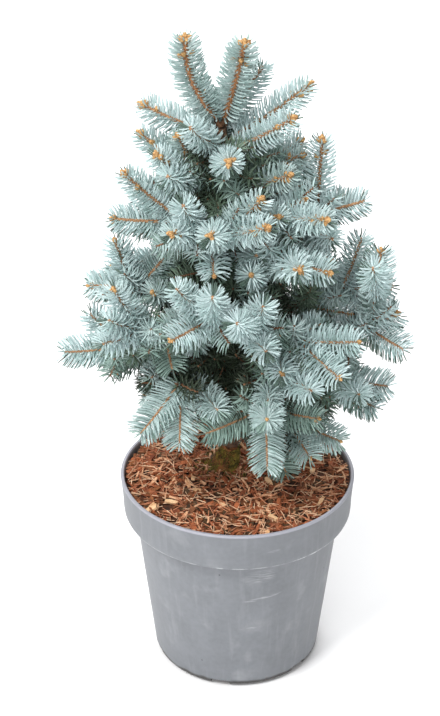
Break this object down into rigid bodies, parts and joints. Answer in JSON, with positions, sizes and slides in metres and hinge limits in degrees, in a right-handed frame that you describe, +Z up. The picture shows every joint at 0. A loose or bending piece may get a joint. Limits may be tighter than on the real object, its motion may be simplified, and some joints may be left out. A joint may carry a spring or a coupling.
{
  "type": "potted blue spruce",
  "caption": "Young blue spruce with glaucous needled shoots in a round grey plastic nursery pot filled with bark mulch.",
  "frame": {"origin": "centre of the pot's flat underside, on the surface that the pot stands on", "axes": "+Z up along the trunk; +X to the right and -Y towards the viewer of the plant's fuller side"},
  "size_m": [0.349, 0.2925, 0.6548],
  "materials": {
    "pot": "matt grey plastic, a little worn",
    "growing_medium": "shredded bark mulch over compost",
    "bark": "rough brown bark",
    "needles": "waxy blue-green needles"
  },
  "bodies": {
    "root": {"bough_low_left": "bark", "bough_low_rear_left": "bark", "bough_low_rear_right": "bark", "bough_low_right": "bark", "bough_middle_front": "bark", "bough_middle_front_left": "bark", "bough_middle_left": "bark", "bough_middle_left_front": "bark", "bough_middle_rear_left": "bark", "bough_middle_rear_right": "bark", "bough_middle_right": "bark", "bough_middle_right_low": "bark", "bough_middle_right_rear": "bark", "foliage_inner_front": "needles", "foliage_leader_left": "needles", "foliage_leader_rear": "needles", "foliage_leader_right": "needles", "foliage_low_front": "needles", "foliage_low_left": "needles", "foliage_low_left_front": "needles", "foliage_low_rear": "needles", "foliage_low_rear_left": "needles", "foliage_low_rear_right": "needles", "foliage_low_right": "needles", "foliage_low_right_front": "needles", "foliage_middle_front": "needles", "foliage_middle_front_left": "needles", "foliage_middle_left": "needles", "foliage_middle_left_front": "needles", "foliage_middle_rear": "needles", "foliage_middle_rear_left": "needles", "foliage_middle_rear_right": "needles", "foliage_middle_right": "needles", "foliage_middle_right_front": "needles", "foliage_middle_right_low": "needles", "foliage_middle_right_rear": "needles", "foliage_shoulder_front": "needles", "foliage_shoulder_left": "needles", "foliage_shoulder_left_front": "needles", "foliage_shoulder_rear": "needles", "foliage_shoulder_rear_left": "needles", "foliage_shoulder_rear_right": "needles", "foliage_shoulder_right": "needles", "foliage_shoulder_right_front": "needles", "foliage_skirt_right": "needles", "foliage_top_left": "needles", "foliage_top_left_front": "needles", "foliage_top_rear": "needles", "foliage_top_right": "needles", "foliage_top_right_front": "needles", "foliage_upper_front": "needles", "foliage_upper_left": "needles", "foliage_upper_rear": "needles", "foliage_upper_rear_left": "needles", "foliage_upper_right": "needles", "foliage_upper_right_front": "needles", "growing_medium": "growing_medium", "pot": "pot", "trunk": "bark"}
  },
  "joints": []
}
